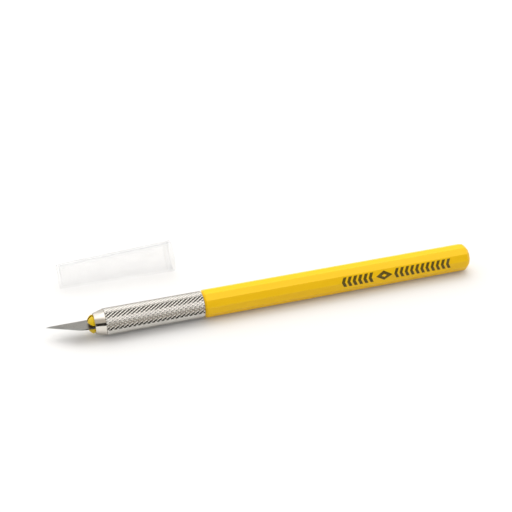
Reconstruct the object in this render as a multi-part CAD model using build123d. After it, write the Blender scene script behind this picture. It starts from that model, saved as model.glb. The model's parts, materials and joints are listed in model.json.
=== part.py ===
"""Pencil-style craft knife: faceted handle, knurled screw chuck, split collet, blade and safety cap.

The knife lies along X on the lowest flat of its handle, blade towards -X, Z up, in millimetres.
Lengths are laid out from the front face of the handle, and each piece is then moved so that the
origin lies on the resting flat, under the middle of the handle.
"""

from build123d import *
from math import atan, cos, degrees, radians, sin, tan
import os

# Handle: a twelve-sided plastic tube, closed at the butt.
HANDLE_FACETS = 12
ACROSS_FLATS = 9.0
HANDLE_LENGTH = 94.2
FRONT_CHAMFER = 0.7
BUTT_CHAMFER = 1.2
BUTT_WALL = 4.0
AXIS_HEIGHT = ACROSS_FLATS / 2
ORIGIN_X = HANDLE_LENGTH / 2

# Collet: threaded shank fixed in the handle, with flexing jaws in front of it.
SHANK_RADIUS = 2.9
SHANK_DEPTH = 14.0
THREAD_RADIUS = 3.4
THREAD_FRONT = -12.0
THREAD_RELIEF = 0.8
ROOT_GAP = 0.05
STEM_RADIUS = 3.2
HEAD_SHOULDER = -34.4
DOME_RADIUS = 3.15
DOME_LENGTH = 2.3
CROSS_SLOT = 0.7
QUADRANTS = {
    "upper_far": (1, 1),
    "upper_near": (-1, 1),
    "lower_near": (-1, -1),
    "lower_far": (1, -1),
}

# Metal chuck: a smooth closing nose in front of a knurled sleeve.
MOUTH_X = -35.7
MOUTH_RADIUS = 3.4
MOUTH_BORE = 3.2
SLEEVE_FRONT = -32.3
SLEEVE_REAR = -0.1
SLEEVE_RADIUS = 4.4
SLEEVE_EDGE = 0.2
SLEEVE_BORE = 3.7
CLOSING_ANGLE = 10.0
SPIGOT_RADIUS = 4.0
SPIGOT_LENGTH = 2.5
LIP = 0.06
RUNNING_FIT = 0.05
THREAD_ENGAGED = 11.5

# Blade: a flat spare with one slanting cutting edge, rolled about the knife's axis.
BLADE_WIDTH = 6.0
BLADE_THICKNESS = 0.45
BLADE_TIP = -50.8
BLADE_TAIL = -18.5
TAIL_CORNER = 1.4
EDGE_ANGLE = 30.5
GRIND_WIDTH = 0.9
BLADE_ROLL = -9.0
SLOT_CLEARANCE = 0.02

# Safety cap: a thin tapered tube, closed at its narrow end, lying behind the blade.
CAP_LENGTH = 39.4
CAP_CLOSED_RADIUS = 4.2
CAP_OPEN_RADIUS = 5.35
CAP_WALL = 0.6
CAP_END_WALL = 0.9
CAP_CORNER = 0.4
CAP_CLOSED_X = -42.1
CAP_CLOSED_Y = 30.2
CAP_YAW = -1.0


def turned(*outline):
    """A solid of revolution about the knife's axis from its (x, radius) outline."""
    section = Plane.XZ * make_face(Polyline(*outline, close=True))
    return Pos(Z=AXIS_HEIGHT) * revolve(section, Axis.X)


def in_blade_frame(shape):
    """Moves a shape built flat about the X axis to the knife's axis and to the blade's roll."""
    return Pos(Z=AXIS_HEIGHT) * Rot(X=BLADE_ROLL) * shape


def handle_barrel():
    """Twelve-sided bar with chamfered ends and a blind bore from the front."""
    half_facet = 180 / HANDLE_FACETS
    outline = RegularPolygon(AXIS_HEIGHT, HANDLE_FACETS, major_radius=False, rotation=half_facet)
    bar = Pos(Z=AXIS_HEIGHT) * extrude(Plane.YZ * outline, HANDLE_LENGTH)
    bar = chamfer(bar.faces().sort_by(Axis.X)[-1].edges(), BUTT_CHAMFER)
    bar = chamfer(bar.faces().sort_by(Axis.X)[0].edges(), FRONT_CHAMFER)
    bore_end = HANDLE_LENGTH - BUTT_WALL
    return bar - turned((0, 0), (bore_end, 0), (bore_end, SHANK_RADIUS), (0, SHANK_RADIUS))


def collet_shank():
    """Threaded stub that the sleeve screws on, with its tail fixed in the handle."""
    return turned(
        (THREAD_FRONT, 0),
        (SHANK_DEPTH, 0),
        (SHANK_DEPTH, SHANK_RADIUS - SLEEVE_EDGE),
        (SHANK_DEPTH - SLEEVE_EDGE, SHANK_RADIUS),
        (-THREAD_RELIEF, SHANK_RADIUS),
        (-THREAD_RELIEF, THREAD_RADIUS - SLEEVE_EDGE),
        (-THREAD_RELIEF - SLEEVE_EDGE, THREAD_RADIUS),
        (THREAD_FRONT, THREAD_RADIUS),
    )


def collet_jaws():
    """The jaws, one per quadrant about the blade: a domed head, a closing cone and a long stem."""
    head_base = MOUTH_X
    head_radius = DOME_RADIUS + (HEAD_SHOULDER - head_base) * tan(radians(CLOSING_ANGLE))
    neck = HEAD_SHOULDER + (head_radius - STEM_RADIUS)
    root = THREAD_FRONT - ROOT_GAP
    dome = EllipticalCenterArc((head_base, 0), DOME_LENGTH, DOME_RADIUS, start_angle=90, arc_size=90)
    body = Polyline(
        (head_base, DOME_RADIUS),
        (HEAD_SHOULDER, head_radius),
        (neck, STEM_RADIUS),
        (root, STEM_RADIUS),
        (root, 0),
        (head_base - DOME_LENGTH, 0),
    )
    section = Plane.XZ * make_face(dome + body)
    blank = Pos(Z=AXIS_HEIGHT) * revolve(section, Axis.X)
    long_cut = 2 * abs(BLADE_TIP)
    wide_cut = 4 * STEM_RADIUS
    blade_slot = Box(long_cut, wide_cut, BLADE_THICKNESS + 2 * SLOT_CLEARANCE)
    cross_slot = Box(long_cut, CROSS_SLOT, wide_cut)
    blank = blank - in_blade_frame(blade_slot) - in_blade_frame(cross_slot)
    jaws = {}
    for name, (side, level) in QUADRANTS.items():
        corner = Pos(Y=side * wide_cut / 2, Z=level * wide_cut / 2)
        jaws["collet_jaw_" + name] = blank & in_blade_frame(corner * Box(long_cut, wide_cut, wide_cut))
    return jaws


def nose_cone():
    """Smooth tapered ring that closes the jaws, with a spigot inside the sleeve."""
    cone_end = MOUTH_X + (SLEEVE_BORE - MOUTH_BORE) / tan(radians(CLOSING_ANGLE))
    spigot_end = SLEEVE_FRONT + SPIGOT_LENGTH
    return turned(
        (MOUTH_X, MOUTH_BORE),
        (MOUTH_X, MOUTH_RADIUS - LIP),
        (MOUTH_X + LIP, MOUTH_RADIUS),
        (SLEEVE_FRONT - 2 * LIP, SLEEVE_RADIUS - LIP),
        (SLEEVE_FRONT, SLEEVE_RADIUS - 2 * LIP),
        (SLEEVE_FRONT, SPIGOT_RADIUS),
        (spigot_end, SPIGOT_RADIUS),
        (spigot_end, SLEEVE_BORE),
        (cone_end, SLEEVE_BORE),
    )


def chuck_sleeve():
    """Knurled tube, here at its nominal diameter, counterbored in front and tapped behind."""
    front = SLEEVE_FRONT + RUNNING_FIT
    spigot_seat = SLEEVE_FRONT + SPIGOT_LENGTH + RUNNING_FIT
    thread_start = SLEEVE_REAR - THREAD_ENGAGED
    return turned(
        (front, SPIGOT_RADIUS + RUNNING_FIT),
        (front, SLEEVE_RADIUS - SLEEVE_EDGE),
        (front + SLEEVE_EDGE, SLEEVE_RADIUS),
        (SLEEVE_REAR - SLEEVE_EDGE, SLEEVE_RADIUS),
        (SLEEVE_REAR, SLEEVE_RADIUS - SLEEVE_EDGE),
        (SLEEVE_REAR, THREAD_RADIUS + RUNNING_FIT),
        (thread_start, THREAD_RADIUS + RUNNING_FIT),
        (thread_start, SLEEVE_BORE),
        (spigot_seat, SLEEVE_BORE),
        (spigot_seat, SPIGOT_RADIUS + RUNNING_FIT),
    )


def blade():
    """Flat blade whose slanting lower edge is ground to a point of no thickness from both faces."""
    half_width = BLADE_WIDTH / 2
    edge_length_x = BLADE_WIDTH / tan(radians(EDGE_ANGLE))
    outline = Polyline(
        (BLADE_TIP, half_width),
        (BLADE_TIP + edge_length_x, -half_width),
        (BLADE_TAIL - TAIL_CORNER, -half_width),
        (BLADE_TAIL, -half_width + TAIL_CORNER),
        (BLADE_TAIL, half_width - TAIL_CORNER),
        (BLADE_TAIL - TAIL_CORNER, half_width),
        close=True,
    )
    blank = extrude(make_face(outline), BLADE_THICKNESS / 2, both=True)
    reach = abs(BLADE_TIP)
    half_thickness = BLADE_THICKNESS / 2
    grind_outline = Polyline(
        (0, 0),
        (GRIND_WIDTH, half_thickness),
        (reach, half_thickness),
        (reach, -half_thickness),
        (GRIND_WIDTH, -half_thickness),
        close=True,
    )
    along_edge = (cos(radians(EDGE_ANGLE)), -sin(radians(EDGE_ANGLE)), 0)
    into_blade = (sin(radians(EDGE_ANGLE)), cos(radians(EDGE_ANGLE)), 0)
    across_edge = Plane(origin=(BLADE_TIP, half_width, 0), x_dir=into_blade, z_dir=along_edge)
    ground = extrude(across_edge * make_face(grind_outline), reach, both=True)
    return in_blade_frame(blank & ground)


def safety_cap():
    """Tapered cap resting on its side, so its axis climbs by the taper's half angle."""
    half_angle = atan((CAP_OPEN_RADIUS - CAP_CLOSED_RADIUS) / CAP_LENGTH)
    inner_closed = CAP_CLOSED_RADIUS - CAP_WALL + CAP_END_WALL * tan(half_angle)
    outline = Polyline(
        (0, 0),
        (0, CAP_CLOSED_RADIUS - CAP_CORNER),
        (CAP_CORNER, CAP_CLOSED_RADIUS + CAP_CORNER * tan(half_angle)),
        (CAP_LENGTH, CAP_OPEN_RADIUS),
        (CAP_LENGTH, CAP_OPEN_RADIUS - CAP_WALL),
        (CAP_END_WALL, inner_closed),
        (CAP_END_WALL, 0),
        close=True,
    )
    shell = revolve(Plane.XZ * make_face(outline), Axis.X)
    lying = Rot(Y=-degrees(half_angle)) * shell
    return Pos(CAP_CLOSED_X, CAP_CLOSED_Y, CAP_CLOSED_RADIUS * cos(half_angle)) * Rot(Z=CAP_YAW) * lying


nodes = {
    "handle_barrel": handle_barrel(),
    "collet_shank": collet_shank(),
    "nose_cone": nose_cone(),
    "chuck_sleeve": chuck_sleeve(),
    "blade": blade(),
    "safety_cap": safety_cap(),
}
nodes.update(collet_jaws())

os.makedirs("parts", exist_ok=True)
for name, shape in nodes.items():
    export_step(Pos(X=-ORIGIN_X) * shape, f"parts/{name}.step")
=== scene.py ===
"""Looks of the craft knife: fine meshes, materials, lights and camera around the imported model.

Every piece is built in metres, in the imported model's frame. The knife's axis runs along X, from the
blade at -X to the butt at +X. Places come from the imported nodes' boxes; sizes are named below.
"""

import json
from math import atan, cos, hypot, pi, radians, sin, sqrt, tan

import bmesh
import bpy
from mathutils import Matrix, Vector


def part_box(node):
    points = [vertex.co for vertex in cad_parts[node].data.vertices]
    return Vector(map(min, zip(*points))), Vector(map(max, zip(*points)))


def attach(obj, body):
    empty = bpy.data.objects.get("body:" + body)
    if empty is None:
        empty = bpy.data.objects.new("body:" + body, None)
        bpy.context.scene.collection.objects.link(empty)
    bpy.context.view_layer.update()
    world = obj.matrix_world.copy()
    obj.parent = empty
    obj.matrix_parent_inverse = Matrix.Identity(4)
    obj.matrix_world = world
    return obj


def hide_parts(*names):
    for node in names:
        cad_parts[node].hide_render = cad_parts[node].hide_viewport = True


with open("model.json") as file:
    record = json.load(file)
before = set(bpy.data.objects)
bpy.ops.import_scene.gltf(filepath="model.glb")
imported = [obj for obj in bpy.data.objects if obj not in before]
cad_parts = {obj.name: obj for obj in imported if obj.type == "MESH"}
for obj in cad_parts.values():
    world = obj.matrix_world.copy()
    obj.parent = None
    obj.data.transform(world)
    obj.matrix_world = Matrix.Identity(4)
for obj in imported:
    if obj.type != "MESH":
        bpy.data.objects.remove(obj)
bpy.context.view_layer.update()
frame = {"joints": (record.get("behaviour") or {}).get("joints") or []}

MM = 0.001
MERGE_DISTANCE = 1e-7
PLAIN_SHARP = radians(28)

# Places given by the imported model.
HANDLE_LOW, HANDLE_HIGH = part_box("handle_barrel")
SHANK_LOW, SHANK_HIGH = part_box("collet_shank")
NOSE_LOW, NOSE_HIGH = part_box("nose_cone")
SLEEVE_LOW, SLEEVE_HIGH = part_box("chuck_sleeve")
JAW_LOW, JAW_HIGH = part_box("collet_jaw_upper_far")
BLADE_LOW, BLADE_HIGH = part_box("blade")
CAP_LOW, CAP_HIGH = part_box("safety_cap")
AXIS_Z = (HANDLE_LOW.z + HANDLE_HIGH.z) / 2
APOTHEM = AXIS_Z - HANDLE_LOW.z
SLEEVE_RADIUS = (SLEEVE_HIGH.y - SLEEVE_LOW.y) / 2

# Handle: twelve flats, with moulded edges a little rounded.
FACETS = 12
FACET_TURN = 2 * pi / FACETS
FACET_EDGE_RADIUS = 0.32 * MM
FACET_EDGE_STEPS = 6
FRONT_CHAMFER = 0.7 * MM
BUTT_CHAMFER = 1.2 * MM
BUTT_SOFTENING = 0.3 * MM
BUTT_EDGE_RADIUS = 1.3 * MM
BUTT_WALL = 4.0 * MM
END_EDGE_RADIUS = 0.25 * MM
BORE_RADIUS = 2.9 * MM

# Printed decoration: two rows of chevrons and a lozenge, across the edge between two front facets.
# A row is its start, its pitch, its stroke's width and its number of chevrons.
PRINT_EDGE_ANGLE = radians(75)
PRINT_TOP = 1.95 * MM
PRINT_BOTTOM = -1.45 * MM
PRINT_MIDDLE = (PRINT_TOP + PRINT_BOTTOM) / 2
PRINT_LIFT = 0.012 * MM
CHEVRON_REACH = 0.8 * MM
LEFT_ROW = (-0.37 * MM, 1.9 * MM, 1.12 * MM, 6)
RIGHT_ROW = (18.4 * MM, 1.89 * MM, 1.05 * MM, 11)
LOZENGE_START = 11.9 * MM
LOZENGE_WIDTH = 5.8 * MM
LOZENGE_BORDER = 1.0 * MM

# Chuck: turned nose ring and knurled sleeve.
ROUND_STEPS = 128
MOUTH_BORE = 3.2 * MM
MOUTH_RADIUS = 3.4 * MM
CLOSING_ANGLE = radians(10)
SPIGOT_RADIUS = 4.0 * MM
SLEEVE_BORE = 3.7 * MM
THREAD_BORE = 3.45 * MM
THREAD_ENGAGED = 11.5 * MM
RUNNING_FIT = 0.05 * MM
KNURL_STARTS = 27
KNURL_PERIOD = 1.54 * MM
KNURL_DEPTH = 0.235 * MM
KNURL_NICK_DEPTH = 0.07 * MM
KNURL_CREST = 0.1
KNURL_SHARP = radians(12)
SLEEVE_CHAMFER = 0.16 * MM

# Collet: threaded shank and four jaws round the blade.
SHANK_RADIUS = 2.9 * MM
THREAD_RADIUS = 3.4 * MM
THREAD_PITCH = 1.0 * MM
THREAD_DEPTH = 0.45 * MM
THREAD_RELIEF = 0.8 * MM
THREAD_STEPS = 12
STEM_RADIUS = 3.2 * MM
HEAD_LENGTH = 1.3 * MM
DOME_LENGTH = 2.3 * MM
DOME_RADIUS = 3.15 * MM
DOME_STEPS = 14
CROSS_SLOT = 0.7 * MM
SLOT_CLEARANCE = 0.02 * MM
JAW_EDGE = 0.12 * MM
UPPER_FLARE = 0.85 * MM
LOWER_FLARE = 0.30 * MM
CROSS_FLARE = 0.12 * MM
FLARE_LENGTH = 3.7 * MM
NECK_LENGTH = 0.42 * MM
NECK_DEPTH = 0.28 * MM
JAWS = {"upper_far": (1, 1), "upper_near": (-1, 1), "lower_near": (-1, -1), "lower_far": (1, -1)}

# Blade: flat spare, rolled about the knife's axis.
BLADE_ROLL = radians(-9)
BLADE_WIDTH = 6.0 * MM
BLADE_THICKNESS = 0.45 * MM
EDGE_ANGLE = radians(30.5)
GRIND_WIDTH = 0.9 * MM
HONE_WIDTH = 0.12 * MM
HONE_HALF_THICKNESS = 0.045 * MM
TAIL_CORNER = 1.4 * MM

# Safety cap: tapered tube on its side, closed at the narrow end.
CAP_LENGTH = 39.4 * MM
CAP_CLOSED_RADIUS = 4.2 * MM
CAP_WALL = 0.6 * MM
CAP_END_WALL = 0.9 * MM
CAP_CORNER = 0.5 * MM
CAP_RIM_STEP = 0.15 * MM
CAP_RIM_LENGTH = 2.1 * MM
CAP_SHARP = radians(50)

# Camera and light.
VIEW_AZIMUTH = radians(-17.49)
VIEW_ELEVATION = radians(33.43)
VIEW_DISTANCE = 427.7 * MM
VIEW_AIM = Vector((-19.9, 28.3, 0)) * MM
VIEW_LENS_MM = 85.6
VIEW_SENSOR_MM = 36
KEY_TILT = radians(32)
KEY_SOFTBOX = (-KEY_TILT, radians(52), 0.92)
FRONT_FILL = (radians(55), radians(60), 0.45)
GLOW = Vector((0.22, 0.04, 0.97)).normalized()
FLOOR_RADIUS = 8.0
FLOOR_STEPS = 64
FLOOR_COLOUR = (0.69, 0.687, 0.684, 1)
FLOOR_GLOW = 0.075


def circle(x, radius, steps=ROUND_STEPS):
    """A ring of points about the knife's axis."""
    turns = [2 * pi * i / steps for i in range(steps)]
    return [Vector((x, radius * cos(a), AXIS_Z + radius * sin(a))) for a in turns]


def rounded(outline, steps=5):
    """An outline of (x, y, radius) corners, each made into an arc of its radius, as (x, y) points."""
    points = []
    count = len(outline)
    for i, (x, y, radius) in enumerate(outline):
        corner = Vector((x, y))
        if radius == 0:
            points.append(corner)
            continue
        before = (Vector(outline[i - 1][:2]) - corner).normalized()
        after = (Vector(outline[(i + 1) % count][:2]) - corner).normalized()
        half_angle = before.angle(after) / 2
        start = corner + before * radius / tan(half_angle)
        end = corner + after * radius / tan(half_angle)
        centre = corner + (before + after).normalized() * radius / sin(half_angle)
        sweep = (start - centre).angle_signed(end - centre)
        for k in range(steps + 1):
            turned = Matrix.Rotation(-sweep * k / steps, 2) @ (start - centre)
            points.append(centre + turned)
    return points


def skinned(rings, closed=False):
    """Vertices and faces of the skin over rings of points; a ring of one point is a pole."""
    vertices, faces, starts = [], [], []
    for ring in rings:
        starts.append(len(vertices))
        vertices.extend(ring)
    pairs = list(zip(range(len(rings) - 1), range(1, len(rings))))
    if closed:
        pairs.append((len(rings) - 1, 0))
    for a, b in pairs:
        count = max(len(rings[a]), len(rings[b]))
        for i in range(count):
            k = (i + 1) % count
            low = [starts[a]] if len(rings[a]) == 1 else [starts[a] + i, starts[a] + k]
            high = [starts[b]] if len(rings[b]) == 1 else [starts[b] + k, starts[b] + i]
            faces.append(low + high)
    return vertices, faces


def piece(name, vertices, faces, body, node, materials, sharp=PLAIN_SHARP):
    """A mesh piece from its vertices and faces, placed in the frame."""
    mesh = bpy.data.meshes.new(name)
    mesh.from_pydata([tuple(v) for v in vertices], [], faces)
    return finished(mesh, name, body, node, materials, sharp)


def finished(mesh, name, body, node, materials, sharp=PLAIN_SHARP):
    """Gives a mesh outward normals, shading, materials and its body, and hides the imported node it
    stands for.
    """
    tidy = bmesh.new()
    tidy.from_mesh(mesh)
    bmesh.ops.remove_doubles(tidy, verts=tidy.verts, dist=MERGE_DISTANCE)
    bmesh.ops.recalc_face_normals(tidy, faces=tidy.faces)
    tidy.to_mesh(mesh)
    tidy.free()
    mesh.shade_smooth()
    mesh.set_sharp_from_angle(angle=sharp)
    for material in materials:
        mesh.materials.append(material)
    made = bpy.data.objects.new(name, mesh)
    bpy.context.scene.collection.objects.link(made)
    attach(made, body)
    if node:
        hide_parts(node)
    return made


def lathe(name, outline, body, node, materials):
    """A closed tube turned about the knife's axis from its (x, radius) outline."""
    rings = [circle(x, radius) for x, radius in outline]
    vertices, faces = skinned(rings, closed=True)
    return piece(name, vertices, faces, body, node, materials)


# Materials

def add(tree, kind, inputs, **settings):
    """A shader node whose inputs are constants or links from other nodes' outputs."""
    made = tree.nodes.new("ShaderNode" + kind)
    for key, value in settings.items():
        setattr(made, key, value)
    for key, value in inputs.items():
        if isinstance(value, bpy.types.NodeSocket):
            tree.links.new(value, made.inputs[key])
        else:
            made.inputs[key].default_value = value
    return made


def new_material(name, constants):
    """A material with its tree, its Principled shader and the object's coordinates in metres."""
    material = bpy.data.materials.new(name)
    material.use_nodes = True
    tree = material.node_tree
    shader = tree.nodes["Principled BSDF"]
    for key, value in constants.items():
        shader.inputs[key].default_value = value
    place = add(tree, "TexCoord", {}).outputs["Object"]
    return material, tree, shader, place


def noise(tree, place, per_metre, detail=2.0):
    """Noise stretched by a number of features per metre along X, Y and Z."""
    scaled = add(tree, "Mapping", {"Vector": place, "Scale": per_metre}).outputs["Vector"]
    inputs = {"Vector": scaled, "Scale": 1.0, "Detail": detail}
    return add(tree, "TexNoise", inputs).outputs["Fac"]


def ranged(tree, value, low, high, to_low, to_high):
    """A value mapped from one range to another, held at its ends."""
    inputs = {"Value": value, "From Min": low, "From Max": high, "To Min": to_low, "To Max": to_high}
    return add(tree, "MapRange", inputs).outputs["Result"]


def combined(tree, operation, first, second):
    """Two values joined by a sum, product or other arithmetic."""
    return add(tree, "Math", {0: first, 1: second}, operation=operation).outputs["Value"]


def blended(tree, factor, first, second):
    """A colour between two colours."""
    inputs = {0: factor, 6: first, 7: second}
    return add(tree, "Mix", inputs, data_type="RGBA").outputs[2]


def bumped(tree, shader, height, distance, strength=1.0):
    """Sets the shader's normal from a height between 0 and 1 that stands for a distance in metres."""
    inputs = {"Height": height, "Distance": distance, "Strength": strength}
    tree.links.new(add(tree, "Bump", inputs).outputs["Normal"], shader.inputs["Normal"])


def radius_from_axis(tree, place):
    """Distance from the knife's axis, in metres."""
    parts = add(tree, "SeparateXYZ", {"Vector": place})
    height = combined(tree, "SUBTRACT", parts.outputs["Z"], AXIS_Z)
    across = combined(tree, "MULTIPLY", parts.outputs["Y"], parts.outputs["Y"])
    up = combined(tree, "MULTIPLY", height, height)
    return combined(tree, "SQRT", combined(tree, "ADD", across, up), 0.0)


def moulded_yellow(name, colour, worn, roughness, edge_low, edge_high):
    """Moulded plastic: faint flow mottling, fine grain, hairline scratches and polished edges."""
    material, tree, shader, place = new_material(name, {"IOR": 1.49, "Specular IOR Level": 0.2})
    mottle = noise(tree, place, (45, 260, 260), 3.0)
    edge = ranged(tree, radius_from_axis(tree, place), edge_low, edge_high, 0.0, 1.0)
    ground = blended(tree, ranged(tree, mottle, 0.3, 0.7, 0.0, 0.35), colour, worn)
    worn_share = combined(tree, "MULTIPLY", edge, 0.5)
    tree.links.new(blended(tree, worn_share, ground, worn), shader.inputs["Base Color"])
    scratches = noise(tree, place, (70, 9000, 9000), 3.0)
    scuffs = noise(tree, place, (900, 700, 700), 4.0)
    rough = combined(tree, "ADD", ranged(tree, scratches, 0.56, 0.7, 0.0, 0.12), roughness)
    rough = combined(tree, "ADD", rough, ranged(tree, scuffs, 0.45, 0.75, 0.0, 0.10))
    rough = combined(tree, "SUBTRACT", rough, combined(tree, "MULTIPLY", edge, 0.07))
    tree.links.new(rough, shader.inputs["Roughness"])
    grain = combined(tree, "ADD", noise(tree, place, (5200, 5200, 5200), 2.0), scratches)
    bumped(tree, shader, grain, 0.004 * MM)
    return material


def turned_metal(name, colour, tarnish_and_shade, roughness, marks_per_metre, low, high):
    """Plated turned metal: fine tool marks round the axis, patchy stains, and darker and duller where it
    is recessed, which is partly dirt and partly painted shade.
    """
    edge_tint = (0.80, 0.78, 0.75, 1)
    material, tree, shader, place = new_material(name, {"Metallic": 1.0, "Specular Tint": edge_tint})
    # Painted shade, partly dirt: towards the axis the colour is blended to the stain colour and made
    # rougher.
    recess = ranged(tree, radius_from_axis(tree, place), low, high, 1.0, 0.0)
    stain = ranged(tree, noise(tree, place, (500, 700, 700), 4.0), 0.4, 0.75, 0.0, 0.35)
    share = combined(tree, "MAXIMUM", combined(tree, "MULTIPLY", recess, 0.35), stain)
    tree.links.new(blended(tree, share, colour, tarnish_and_shade), shader.inputs["Base Color"])
    marks = noise(tree, place, (marks_per_metre, 90, 90), 2.0)
    rough = combined(tree, "ADD", ranged(tree, marks, 0.35, 0.75, 0.0, 0.08), roughness)
    rough = combined(tree, "ADD", rough, combined(tree, "MULTIPLY", share, 0.16))
    tree.links.new(rough, shader.inputs["Roughness"])
    bumped(tree, shader, marks, 0.0012 * MM)
    return material


def ground_steel(name, colour, stained, roughness, per_metre, turn):
    """Ground steel: fine parallel scratches with a slight patchy stain."""
    material, tree, shader, place = new_material(name, {"Metallic": 1.0})
    along = add(tree, "Mapping", {"Vector": place, "Rotation": (0, 0, turn)}).outputs["Vector"]
    lines = noise(tree, along, per_metre, 3.0)
    stain = ranged(tree, noise(tree, place, (260, 420, 420), 4.0), 0.42, 0.72, 0.0, 0.5)
    tone = combined(tree, "ADD", stain, ranged(tree, lines, 0.35, 0.75, 0.0, 0.4))
    tree.links.new(blended(tree, tone, colour, stained), shader.inputs["Base Color"])
    rough = combined(tree, "ADD", ranged(tree, lines, 0.3, 0.7, 0.0, 0.16), roughness)
    tree.links.new(rough, shader.inputs["Roughness"])
    bumped(tree, shader, lines, 0.0016 * MM)
    return material


def printed_ink():
    """Screen-printed ink: dark olive, thinner in fine specks."""
    material, tree, shader, place = new_material("printed_ink", {"Specular IOR Level": 0.2})
    specks = ranged(tree, noise(tree, place, (3500, 3500, 3500), 3.0), 0.52, 0.7, 0.0, 0.55)
    ink = blended(tree, specks, (0.10, 0.072, 0.010, 1), (0.24, 0.16, 0.014, 1))
    tree.links.new(ink, shader.inputs["Base Color"])
    tree.links.new(ranged(tree, specks, 0.0, 0.5, 0.42, 0.55), shader.inputs["Roughness"])
    bumped(tree, shader, specks, 0.003 * MM)
    return material


def frosted_cap():
    """See-through plastic: faintly cloudy, milkier at the mouth's lip and the closed end, with a painted
    shade line along its top edge.
    """
    constants = {"IOR": 1.49, "Base Color": (0.60, 0.615, 0.635, 1)}
    material, tree, shader, place = new_material("frosted_plastic", constants)
    facing = add(tree, "LayerWeight", {"Blend": 0.5}).outputs["Facing"]
    parts = add(tree, "SeparateXYZ", {"Vector": place})
    # Painted shade: only the upper half turns more solid grey at grazing angles, drawing a darker line
    # along the top edge.
    top = ranged(tree, parts.outputs["Z"], CAP_HIGH.z * 0.45, CAP_HIGH.z * 0.75, 0.0, 0.6)
    rim = combined(tree, "MULTIPLY", combined(tree, "POWER", facing, 2.5), top)
    mouth = CAP_HIGH.x - CAP_RIM_LENGTH
    lip = ranged(tree, parts.outputs["X"], mouth - 0.1 * MM, mouth + 0.1 * MM, 0.04, 0.085)
    closed = ranged(tree, parts.outputs["X"], CAP_LOW.x + 0.7 * MM, CAP_LOW.x + 1.0 * MM, 0.03, 0.0)
    cloud = ranged(tree, noise(tree, place, (160, 300, 300), 3.0), 0.3, 0.7, 0.0, 0.03)
    ends = combined(tree, "ADD", lip, closed)
    solid = combined(tree, "ADD", combined(tree, "ADD", cloud, ends), rim)
    tree.links.new(solid, shader.inputs["Alpha"])
    scuffs = noise(tree, place, (1200, 2600, 2600), 4.0)
    tree.links.new(ranged(tree, scuffs, 0.35, 0.75, 0.24, 0.40), shader.inputs["Roughness"])
    bumped(tree, shader, noise(tree, place, (2400, 2400, 2400), 2.0), 0.003 * MM)
    return material


# Pieces

def facet_ring(x, inset):
    """The handle's outline at x, its flats moved in by inset, with rounded edges between them."""
    apothem = APOTHEM - inset
    to_arc_centre = (apothem - FACET_EDGE_RADIUS) / cos(FACET_TURN / 2)
    ring = []
    for facet in range(FACETS):
        corner_turn = (facet + 0.5) * FACET_TURN
        for step in range(FACET_EDGE_STEPS + 1):
            turn = corner_turn + FACET_TURN * (step / FACET_EDGE_STEPS - 0.5)
            y = to_arc_centre * cos(corner_turn) + FACET_EDGE_RADIUS * cos(turn)
            z = to_arc_centre * sin(corner_turn) + FACET_EDGE_RADIUS * sin(turn)
            ring.append(Vector((x, y, AXIS_Z + z)))
    return ring


def bore_ring(x, radius):
    """A circle with one point for each point of the handle's outline, in the same directions."""
    ring = []
    for point in facet_ring(x, 0):
        out = Vector((0, point.y, point.z - AXIS_Z)).normalized() * radius
        ring.append(Vector((x, out.y, AXIS_Z + out.z)))
    return ring


def handle(material):
    """Twelve-sided bar with softened chamfers and a blind bore."""
    front, butt = HANDLE_LOW.x, HANDLE_HIGH.x
    corners = [
        (front, APOTHEM, 0),
        (front, FRONT_CHAMFER, 0.12 * MM),
        (front + FRONT_CHAMFER, 0, END_EDGE_RADIUS),
        (butt - BUTT_CHAMFER - BUTT_SOFTENING, 0, BUTT_EDGE_RADIUS),
        (butt, BUTT_CHAMFER + BUTT_SOFTENING, BUTT_EDGE_RADIUS),
        (butt, APOTHEM, 0),
    ]
    bore_end = butt - BUTT_WALL
    outside = rounded(corners)[1:-1]
    rings = [[Vector((bore_end, 0, AXIS_Z))]]
    rings += [bore_ring(x, BORE_RADIUS) for x in (bore_end, front)]
    rings += [facet_ring(x, inset) for x, inset in outside]
    rings.append([Vector((butt, 0, AXIS_Z))])
    vertices, faces = skinned(rings)
    return piece("handle_body", vertices, faces, "handle", "handle_barrel", [material])


def print_point(x, along, lift):
    """A point on the handle's skin, a distance along its outline above the printed edge."""
    arc_half = FACET_EDGE_RADIUS * FACET_TURN / 2
    on_arc = min(max(along, -arc_half), arc_half)
    turn = PRINT_EDGE_ANGLE - on_arc / FACET_EDGE_RADIUS
    to_arc_centre = (APOTHEM - FACET_EDGE_RADIUS) / cos(FACET_TURN / 2)
    reach = FACET_EDGE_RADIUS + lift
    y = -to_arc_centre * sin(PRINT_EDGE_ANGLE) - reach * sin(turn) + (along - on_arc) * cos(turn)
    z = to_arc_centre * cos(PRINT_EDGE_ANGLE) + reach * cos(turn) + (along - on_arc) * sin(turn)
    return Vector((x, y, AXIS_Z + z))


def print_shape(left, right, low, high):
    """A thin closed film between two edges, given as x at a height along the outline."""
    arc_half = FACET_EDGE_RADIUS * FACET_TURN / 2
    inner = [arc_half * k / 4 for k in range(-4, 5)]
    stations = [low] + [a for a in inner if low < a < high] + [high]
    rings = []
    for along in stations:
        x0, x1 = left(along), right(along)
        ends = ((x0, PRINT_LIFT), (x1, PRINT_LIFT), (x1, -PRINT_LIFT), (x0, -PRINT_LIFT))
        rings.append([print_point(x, along, lift) for x, lift in ends])
    vertices, faces = skinned(rings)
    last = len(vertices) - 4
    faces.append([3, 2, 1, 0])
    faces.append([last, last + 1, last + 2, last + 3])
    return vertices, faces


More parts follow.
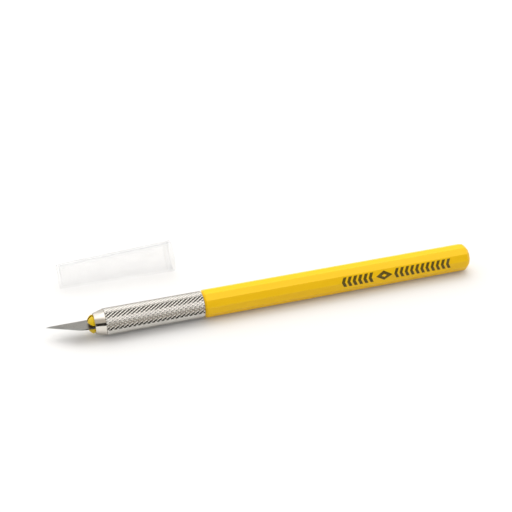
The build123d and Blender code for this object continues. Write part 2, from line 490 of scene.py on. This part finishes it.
def handle_print(material):
    """Decoration in two rows of chevrons that point to the blade, with an open lozenge between them."""
    shapes = []

    def halved(left, right, bottom=PRINT_BOTTOM, top=PRINT_TOP):
        """Adds a shape in two halves, so that its outline can turn a corner at mid height."""
        shapes.append(print_shape(left, right, bottom, PRINT_MIDDLE))
        shapes.append(print_shape(left, right, PRINT_MIDDLE, top))

    def chevrons(start, pitch, stroke, count):
        for i in range(count):
            first = start + i * pitch

            def leading(s, first=first):
                return first + CHEVRON_REACH * abs(s - PRINT_MIDDLE) / (PRINT_TOP - PRINT_MIDDLE)

            halved(leading, lambda s, edge=leading: edge(s) + stroke)

    chevrons(*LEFT_ROW)
    chevrons(*RIGHT_ROW)

    half_height = PRINT_TOP - PRINT_MIDDLE
    half_width = LOZENGE_WIDTH / 2
    centre = LOZENGE_START + half_width
    hollow_share = 1 - LOZENGE_BORDER * hypot(half_width, half_height) / (half_width * half_height)

    def reach(s, share):
        """Half width of a lozenge of a share of the full size, at a height along the outline."""
        return half_width * max(share - abs(s - PRINT_MIDDLE) / half_height, 0)

    def hollow(s):
        return reach(s, hollow_share)

    def outer_left(s):
        return centre - reach(s, 1)

    def outer_right(s):
        return centre + reach(s, 1)

    hollow_low = PRINT_MIDDLE - half_height * hollow_share
    hollow_high = PRINT_MIDDLE + half_height * hollow_share
    for low, high in ((PRINT_BOTTOM, hollow_low), (hollow_high, PRINT_TOP)):
        shapes.append(print_shape(outer_left, outer_right, low, high))
    halved(outer_left, lambda s: centre - hollow(s), hollow_low, hollow_high)
    halved(lambda s: centre + hollow(s), outer_right, hollow_low, hollow_high)

    vertices, faces = [], []
    for shape_vertices, shape_faces in shapes:
        first = len(vertices)
        vertices.extend(shape_vertices)
        faces.extend([[first + i for i in face] for face in shape_faces])
    return piece("handle_print", vertices, faces, "handle", None, [material])


def nose_ring(material):
    """Smooth tapered ring with a rolled mouth, a groove against the knurl and a hidden spigot."""
    mouth, spigot_end = NOSE_LOW.x, NOSE_HIGH.x
    rear = SLEEVE_LOW.x - RUNNING_FIT
    cone_end = mouth + (SLEEVE_BORE - MOUTH_BORE) / tan(CLOSING_ANGLE)
    outline = rounded([
        (mouth + 0.14 * MM, MOUTH_BORE, 0),
        (mouth, MOUTH_BORE + 0.1 * MM, 0.02 * MM),
        (mouth, MOUTH_RADIUS, 0.06 * MM),
        (rear - 0.1 * MM, SLEEVE_RADIUS - 0.04 * MM, 0.04 * MM),
        (rear, SLEEVE_RADIUS - 0.2 * MM, 0),
        (rear, SPIGOT_RADIUS, 0),
        (spigot_end, SPIGOT_RADIUS, 0.1 * MM),
        (spigot_end, SLEEVE_BORE, 0),
        (cone_end, SLEEVE_BORE, 0),
    ])
    return lathe("nose_ring", outline, "nose", "nose_cone", [material])


def knurl_vertex(bm, x, turn, radius):
    """A new vertex at a turn and a radius about the knife's axis."""
    return bm.verts.new((x, radius * cos(turn), AXIS_Z + radius * sin(turn)))


def knurled_sleeve(material):
    """Tube under a diamond knurl: deep slanting grooves crossed by shallower ones, chamfered ends."""
    bm = bmesh.new()
    middle = (SLEEVE_LOW.x + SLEEVE_HIGH.x) / 2
    rows = int((SLEEVE_HIGH.x - SLEEVE_LOW.x) / KNURL_PERIOD) + 3
    step = 2 * pi / KNURL_STARTS
    nick = KNURL_CREST + (1 - KNURL_CREST) * KNURL_NICK_DEPTH / KNURL_DEPTH
    heights = {KNURL_CREST: 0, nick: KNURL_NICK_DEPTH, 1: KNURL_DEPTH}

    for row in range(-rows, rows + 1):
        x = middle + row / 2 * KNURL_PERIOD
        for start in range(KNURL_STARTS):
            turn = (start + 0.5 - row / 2) * step

            def at(groove, cross):
                """A vertex of one diamond, from -1 to 1 across the deep and the shallow grooves."""
                along, round_axis = (groove + cross) / 2, (groove - cross) / 2
                radius = SLEEVE_RADIUS - heights[abs(groove)]
                place = x + along * KNURL_PERIOD / 2
                return knurl_vertex(bm, place, turn + round_axis * step / 2, radius)

            crest = {(g, c): at(g * KNURL_CREST, c * KNURL_CREST) for g in (-1, 1) for c in (-1, 1)}
            notch = {(g, c): at(g * nick, c) for g in (-1, 1) for c in (-1, 1)}
            valley = {(g, c): at(g, c) for g in (-1, 1) for c in (-1, 1)}
            bm.faces.new((crest[-1, -1], crest[1, -1], crest[1, 1], crest[-1, 1]))
            for g in (-1, 1):
                flank = (notch[g, 1], valley[g, 1], valley[g, -1], notch[g, -1])
                bm.faces.new((crest[g, -1], crest[g, 1], *flank))
                bm.faces.new((crest[-1, g], crest[1, g], notch[1, g], notch[-1, g]))
    bmesh.ops.remove_doubles(bm, verts=bm.verts, dist=MERGE_DISTANCE)

    front, rear = SLEEVE_LOW.x, SLEEVE_HIGH.x
    for x, outward in ((front, -1), (rear, 1)):
        for inset, trims in ((SLEEVE_CHAMFER, False), (SLEEVE_CHAMFER / 2, False), (0.0, True)):
            everything = bm.verts[:] + bm.edges[:] + bm.faces[:]
            bmesh.ops.bisect_plane(
                bm, geom=everything, plane_co=(x - outward * inset, 0, 0), plane_no=(outward, 0, 0),
                clear_outer=trims, dist=1e-8,
            )
    for vertex in bm.verts:
        inset = min(vertex.co.x - front, rear - vertex.co.x)
        out = Vector((0, vertex.co.y, vertex.co.z - AXIS_Z))
        limit = SLEEVE_RADIUS - SLEEVE_CHAMFER + max(inset, 0)
        if out.length > limit:
            out = out.normalized() * limit
            vertex.co.y, vertex.co.z = out.y, AXIS_Z + out.z

    seat = NOSE_HIGH.x + RUNNING_FIT
    thread_start = rear - THREAD_ENGAGED
    bore = [
        (front, SPIGOT_RADIUS + RUNNING_FIT),
        (seat, SPIGOT_RADIUS + RUNNING_FIT),
        (seat, SLEEVE_BORE),
        (thread_start, SLEEVE_BORE),
        (thread_start, THREAD_BORE),
        (rear, THREAD_BORE),
    ]
    rings = [[bm.verts.new(p) for p in circle(x, radius)] for x, radius in bore]
    for near, far in zip(rings, rings[1:]):
        for i in range(ROUND_STEPS):
            k = (i + 1) % ROUND_STEPS
            bm.faces.new((near[i], near[k], far[k], far[i]))
    for x in (front, rear):
        open_edges = [e for e in bm.edges if e.is_boundary]
        rim = [e for e in open_edges if all(abs(v.co.x - x) < MERGE_DISTANCE for v in e.verts)]
        bmesh.ops.triangle_fill(bm, use_beauty=True, edges=rim, normal=(1, 0, 0))
    mesh = bpy.data.meshes.new("knurled_sleeve")
    bm.to_mesh(mesh)
    bm.free()
    return finished(
        mesh, "knurled_sleeve", "sleeve", "chuck_sleeve", [material], KNURL_SHARP)


def threaded_shank(material):
    """Collet's tail: a helical thread in front of a plain relief and a tail inside the handle."""
    thread_front, tail = SHANK_LOW.x, SHANK_HIGH.x
    thread_rear = HANDLE_LOW.x - THREAD_RELIEF
    steps_along = int((thread_rear - thread_front) / THREAD_PITCH * THREAD_STEPS)
    rings = [[Vector((thread_front, 0, AXIS_Z))]]
    for k in range(steps_along + 1):
        x = thread_front + (thread_rear - thread_front) * k / steps_along
        ring = []
        for i in range(ROUND_STEPS):
            turn = 2 * pi * i / ROUND_STEPS
            phase = ((x - thread_front) / THREAD_PITCH - turn / (2 * pi)) % 1.0
            flank = min(max(abs(phase - 0.5) * 2.6 - 0.25, 0.0), 1.0)
            runout = min((x - thread_front), (thread_rear - x)) / (0.6 * THREAD_PITCH)
            height = flank * min(max(runout, 0.0), 1.0)
            radius = THREAD_RADIUS - THREAD_DEPTH * (1 - height)
            ring.append(Vector((x, radius * cos(turn), AXIS_Z + radius * sin(turn))))
        rings.append(ring)
    rings.append(circle(thread_rear, SHANK_RADIUS))
    rings.append(circle(tail - 0.2 * MM, SHANK_RADIUS))
    rings.append(circle(tail, SHANK_RADIUS - 0.2 * MM))
    rings.append([Vector((tail, 0, AXIS_Z))])
    vertices, faces = skinned(rings)
    return piece(
        "threaded_shank", vertices, faces, "handle", "collet_shank", [material])


def in_blade_frame(x, across, up):
    """A point given along the blade's width and thickness, about the knife's axis."""
    y = across * cos(BLADE_ROLL) - up * sin(BLADE_ROLL)
    z = across * sin(BLADE_ROLL) + up * cos(BLADE_ROLL)
    return Vector((x, y, AXIS_Z + z))


def slot_opening(x, level):
    """Half widths of the cross slot and the blade slot, which flare towards the jaws' tip."""
    flare = max(1 - (x - JAW_LOW.x) / FLARE_LENGTH, 0)
    blade_flare = UPPER_FLARE if level > 0 else LOWER_FLARE
    blade_slot = BLADE_THICKNESS / 2 + SLOT_CLEARANCE
    return CROSS_SLOT / 2 + CROSS_FLARE * flare, blade_slot + blade_flare * flare


def jaw_section(x, radius, side, level):
    """One quarter of a disc, less the slots, with its two slot edges rounded."""
    across, up = slot_opening(x, level)
    edge = min(JAW_EDGE, (radius - hypot(across, up)) * 0.4)
    low_y = sqrt((radius - edge) ** 2 - (up + edge) ** 2)
    high_z = sqrt((radius - edge) ** 2 - (across + edge) ** 2)
    low_turn = atan((up + edge) / low_y)
    high_turn = pi / 2 - atan((across + edge) / high_z)
    points = [(across, up)]
    for k in range(5):
        turn = -pi / 2 + (low_turn + pi / 2) * k / 4
        points.append((low_y + edge * cos(turn), up + edge + edge * sin(turn)))
    for k in range(1, 16):
        turn = low_turn + (high_turn - low_turn) * k / 16
        points.append((radius * cos(turn), radius * sin(turn)))
    for k in range(5):
        turn = high_turn + (pi - high_turn) * k / 4
        points.append((across + edge + edge * cos(turn), high_z + edge * sin(turn)))
    return [in_blade_frame(x, side * y, level * z) for y, z in points]


def collet_jaw(name, side, level, material, slot_shade):
    """A springy jaw: domed nose, closing cone and long stem back to the thread."""
    tip, root = JAW_LOW.x, JAW_HIGH.x
    mouth = tip + DOME_LENGTH
    shoulder = mouth + HEAD_LENGTH
    head_radius = DOME_RADIUS + HEAD_LENGTH * tan(CLOSING_ANGLE)
    smallest = hypot(*slot_opening(tip, level)) * 1.15
    stations = []
    widest = sqrt(1 - (smallest / DOME_RADIUS) ** 2)
    for k in range(DOME_STEPS):
        share = widest * sin(pi / 2 * (1 - k / DOME_STEPS))
        x = mouth - DOME_LENGTH * share
        if x < mouth - NECK_LENGTH:
            stations.append((x, DOME_RADIUS * sqrt(1 - share ** 2)))
    stations += [
        (mouth - NECK_LENGTH, DOME_RADIUS * 0.985),
        (mouth - NECK_LENGTH * 0.75, DOME_RADIUS - NECK_DEPTH),
        (mouth + NECK_LENGTH * 0.25, DOME_RADIUS - NECK_DEPTH),
        (mouth + NECK_LENGTH, DOME_RADIUS + NECK_LENGTH * tan(CLOSING_ANGLE)),
        (shoulder - 0.1 * MM, head_radius - 0.02 * MM),
        (shoulder, head_radius - 0.08 * MM),
        (shoulder + head_radius - STEM_RADIUS, STEM_RADIUS),
        (root, STEM_RADIUS),
    ]
    rings = [jaw_section(x, radius, side, level) for x, radius in stations]
    vertices, faces = skinned(rings)
    count = len(rings[0])
    # Painted shade: the faces of the slot walls take the second, dark material.
    walls = [i for i in range(len(faces)) if i % count in (0, count - 1)]
    faces.append(list(range(count)))
    faces.append([len(vertices) - 1 - i for i in range(count)])
    made = piece("jaw_" + name, vertices, faces, "jaw_" + name,
                 "collet_jaw_" + name, [material, slot_shade])
    for i in walls:
        made.data.polygons[i].material_index = 1
    return made


def craft_blade(flat_steel, ground_bevel, rim):
    """Flat blade, ground along its slanting edge and honed to a line."""
    tip, tail = BLADE_LOW.x, BLADE_HIGH.x
    half_width, half_thick = BLADE_WIDTH / 2, BLADE_THICKNESS / 2
    heel = tip + BLADE_WIDTH / tan(EDGE_ANGLE)
    levels = ((0.0, 0.0), (HONE_WIDTH, HONE_HALF_THICKNESS), (GRIND_WIDTH, half_thick))
    tail_outline = [
        (tail - TAIL_CORNER, -half_width),
        (tail, -half_width + TAIL_CORNER),
        (tail, half_width - TAIL_CORNER),
        (tail - TAIL_CORNER, half_width),
    ]
    vertices, index = [], {}

    def vertex(x, across, up):
        key = (round(x, 8), round(across, 8), round(up, 8))
        if key not in index:
            index[key] = len(vertices)
            vertices.append(in_blade_frame(x, across, up))
        return index[key]

    def edge_pair(inset, up):
        """The two ends of a line parallel to the cutting edge: at the spine and at the heel."""
        reach = inset / sin(EDGE_ANGLE)
        return vertex(tip + reach, half_width, up), vertex(heel + reach, -half_width, up)

    def tail_points(up):
        return [vertex(x, across, up) for x, across in tail_outline]

    def rim_points(up):
        spine, heel_corner = edge_pair(GRIND_WIDTH, up)
        return [heel_corner, *tail_points(up), spine]

    faces, bevels = [], []
    for side in (1, -1):
        pairs = [edge_pair(inset, side * up) for inset, up in levels]
        for (a, b), (c, d) in zip(pairs, pairs[1:]):
            bevels.append([a, b, d, c])
        faces.append([*pairs[-1], *tail_points(side * half_thick)])
    for end in (0, 1):
        upper = [edge_pair(inset, up)[end] for inset, up in levels]
        lower = [edge_pair(inset, -up)[end] for inset, up in levels]
        bevels.append([upper[0], upper[1], lower[1]])
        bevels.append([upper[1], upper[2], lower[2], lower[1]])
    upper_rim, lower_rim = rim_points(half_thick), rim_points(-half_thick)
    for i in range(len(upper_rim) - 1):
        faces.append([upper_rim[i], upper_rim[i + 1], lower_rim[i + 1], lower_rim[i]])
    made = piece("craft_blade", vertices, faces + bevels, "blade", "blade",
                 [flat_steel, ground_bevel, rim], radians(5))
    for face in made.data.polygons:
        face.material_index = 1 if face.index >= len(faces) else 2 if face.index > 1 else 0
    return made


def safety_cap(material):
    """Tapered tube with a rounded closed end and a thinner lip at its mouth."""
    pull = Vector(next(j["axis"] for j in frame["joints"] if j["name"] == "cap_slide"))
    open_radius = (CAP_HIGH.y - CAP_LOW.y) / 2
    half_angle = atan((open_radius - CAP_CLOSED_RADIUS) / CAP_LENGTH)
    flat_axis = -pull.normalized()
    axis = (flat_axis * cos(half_angle) + Vector((0, 0, sin(half_angle)))).normalized()
    mouth = Vector((
        CAP_HIGH.x - open_radius * sqrt(1 - axis.x ** 2),
        (CAP_LOW.y + CAP_HIGH.y) / 2,
        CAP_HIGH.z - open_radius * sqrt(1 - axis.z ** 2),
    ))
    closed_end = mouth - axis * CAP_LENGTH
    slope = tan(half_angle)
    rim = CAP_LENGTH - CAP_RIM_LENGTH
    inner = CAP_CLOSED_RADIUS - CAP_WALL
    outline = rounded([
        (0, CAP_CLOSED_RADIUS, CAP_CORNER),
        (CAP_LENGTH, open_radius, 0.12 * MM),
        (CAP_LENGTH, open_radius - CAP_WALL + CAP_RIM_STEP, 0.12 * MM),
        (rim, inner + rim * slope + CAP_RIM_STEP, 0.1 * MM),
        (rim - 0.2 * MM, inner + rim * slope, 0.1 * MM),
        (CAP_END_WALL, inner + CAP_END_WALL * slope, 0.5 * MM),
        (CAP_END_WALL, 0, 0),
        (0, 0, 0),
    ])[:-2]
    side = axis.cross(Vector((0, 0, 1))).normalized()
    up = side.cross(axis).normalized()
    rings = [[closed_end]]
    for x, radius in outline:
        turns = [2 * pi * i / ROUND_STEPS for i in range(ROUND_STEPS)]
        rings.append([closed_end + axis * x + (side * cos(a) + up * sin(a)) * radius for a in turns])
    rings.append([closed_end + axis * CAP_END_WALL])
    vertices, faces = skinned(rings)
    return piece(
        "clear_cap", vertices, faces, "cap", "safety_cap", [material], CAP_SHARP)


# Studio

def studio_floor():
    """Wide pale disc under the object, lit until it looks white."""
    turns = [2 * pi * i / FLOOR_STEPS for i in range(FLOOR_STEPS)]
    ring = [(FLOOR_RADIUS * cos(a), FLOOR_RADIUS * sin(a), 0) for a in turns]
    mesh = bpy.data.meshes.new("studio_floor")
    mesh.from_pydata(ring, [], [list(range(FLOOR_STEPS))])
    floor = bpy.data.objects.new("studio_floor", mesh)
    bpy.context.scene.collection.objects.link(floor)
    material = bpy.data.materials.new("studio_floor")
    material.use_nodes = True
    shader = material.node_tree.nodes["Principled BSDF"]
    shader.inputs["Base Color"].default_value = FLOOR_COLOUR
    shader.inputs["Roughness"].default_value = 0.9
    shader.inputs["Specular IOR Level"].default_value = 0.0
    shader.inputs["Emission Color"].default_value = (1, 1, 1, 1)
    shader.inputs["Emission Strength"].default_value = FLOOR_GLOW
    mesh.materials.append(material)


def studio_world():
    """Soft white room: a broad glow overhead, bright at back left, dark low down in front."""
    world = bpy.data.worlds.new("studio")
    world.use_nodes = True
    bpy.context.scene.world = world
    tree = world.node_tree
    background = tree.nodes["Background"]
    direction = add(tree, "TexCoord", {}).outputs["Generated"]
    parts = add(tree, "SeparateXYZ", {"Vector": direction})
    front = ranged(tree, parts.outputs["Y"], 0.15, -0.15, 0.0, 1.0)
    left = ranged(tree, parts.outputs["X"], -0.25, 0.10, 1.0, 0.0)
    ahead = blended(tree, left, (0.90, 0.87, 0.83, 1), (0.60, 0.555, 0.495, 1))
    back_left = ranged(tree, parts.outputs["X"], -0.15, -0.27, 0.0, 1.0)
    behind = blended(tree, back_left, (0.82, 0.815, 0.80, 1), (1.35, 1.33, 1.30, 1))
    dome = blended(tree, front, behind, ahead)
    to_glow = add(tree, "VectorMath", {0: direction, 1: GLOW}, operation="DOT_PRODUCT").outputs["Value"]
    dome = blended(tree, ranged(tree, to_glow, 0.70, 0.90, 0.0, 1.0), dome, (1.9, 1.88, 1.85, 1))
    horizon = ranged(tree, parts.outputs["X"], -0.1, 0.6, 0.44, 0.84)
    above = combined(tree, "SUBTRACT", parts.outputs["Z"], horizon)
    low_front = ranged(tree, parts.outputs["Y"], -0.10, -0.45, 0.0, 1.0)
    dark = combined(tree, "MULTIPLY", low_front, ranged(tree, above, -0.04, 0.04, 1.0, 0.0))
    colour = blended(tree, dark, dome, (0.03, 0.028, 0.025, 1))
    tree.links.new(colour, background.inputs["Color"])


def studio_light(name, tilt, width, energy):
    """Softbox as a wide sun, tilted about X from overhead; gloss shows the room, not the sun."""
    light = bpy.data.lights.new(name, "SUN")
    light.angle = width
    light.energy = energy
    lamp = bpy.data.objects.new(name, light)
    lamp.rotation_euler = (tilt, 0, 0)
    lamp.visible_glossy = False
    bpy.context.scene.collection.objects.link(lamp)


def studio_camera():
    """Camera looking down along the knife, a little from its blade end."""
    camera = bpy.data.objects.new("camera", bpy.data.cameras.new("camera"))
    camera.data.lens = VIEW_LENS_MM
    camera.data.sensor_width = VIEW_SENSOR_MM
    camera.data.clip_start = 0.01
    back = Vector((
        sin(VIEW_AZIMUTH) * cos(VIEW_ELEVATION),
        -cos(VIEW_AZIMUTH) * cos(VIEW_ELEVATION),
        sin(VIEW_ELEVATION),
    ))
    camera.location = VIEW_AIM + back * VIEW_DISTANCE
    camera.rotation_euler = (-back).to_track_quat("-Z", "Y").to_euler()
    bpy.context.scene.collection.objects.link(camera)
    bpy.context.scene.camera = camera


studio_camera()
studio_floor()
studio_world()
studio_light("key_softbox", *KEY_SOFTBOX)
studio_light("front_fill", *FRONT_FILL)
bpy.context.scene.view_settings.view_transform = "Standard"

corner_radius = APOTHEM / cos(FACET_TURN / 2)
handle_plastic = moulded_yellow(
    "handle_plastic", (0.86, 0.51, 0.005, 1), (0.88, 0.55, 0.015, 1), 0.34,
    corner_radius - 0.10 * MM, corner_radius - 0.04 * MM)
collet_plastic = moulded_yellow(
    "collet_plastic", (0.64, 0.435, 0.010, 1), (0.70, 0.51, 0.03, 1), 0.14,
    DOME_RADIUS, DOME_RADIUS + 0.3 * MM)
# Painted shade: dark brown plastic for the jaws' slot walls, standing for the shade deep inside the
# slots.
collet_slot_shade = moulded_yellow(
    "collet_slot_shade", (0.22, 0.12, 0.006, 1), (0.30, 0.17, 0.01, 1), 0.45,
    DOME_RADIUS, DOME_RADIUS + 0.3 * MM)
nose_metal = turned_metal(
    "polished_metal", (0.74, 0.70, 0.64, 1), (0.60, 0.57, 0.52, 1), 0.05, 9000,
    MOUTH_RADIUS - 0.2 * MM, MOUTH_RADIUS - 0.05 * MM)
knurl_metal = turned_metal(
    "knurled_metal", (0.60, 0.58, 0.545, 1), (0.34, 0.327, 0.30, 1), 0.07, 6000,
    SLEEVE_RADIUS - KNURL_DEPTH, SLEEVE_RADIUS - 0.08 * MM)
flat_steel = ground_steel(
    "blade_flat", (0.38, 0.365, 0.34, 1), (0.27, 0.258, 0.237, 1), 0.24, (260, 14000, 14000), 0.0)
bevel_steel = ground_steel(
    "blade_bevel", (0.31, 0.31, 0.295, 1), (0.22, 0.22, 0.21, 1), 0.38, (14000, 500, 500), EDGE_ANGLE)
rim_steel = ground_steel(
    "blade_rim", (0.10, 0.097, 0.09, 1), (0.06, 0.058, 0.054, 1), 0.34, (900, 9000, 9000), 0.0)

handle(handle_plastic)
handle_print(printed_ink())
threaded_shank(collet_plastic)
nose_ring(nose_metal)
knurled_sleeve(knurl_metal)
for jaw_name, (jaw_side, jaw_level) in JAWS.items():
    collet_jaw(jaw_name, jaw_side, jaw_level, collet_plastic, collet_slot_shade)
craft_blade(flat_steel, bevel_steel, rim_steel)
safety_cap(frosted_cap())
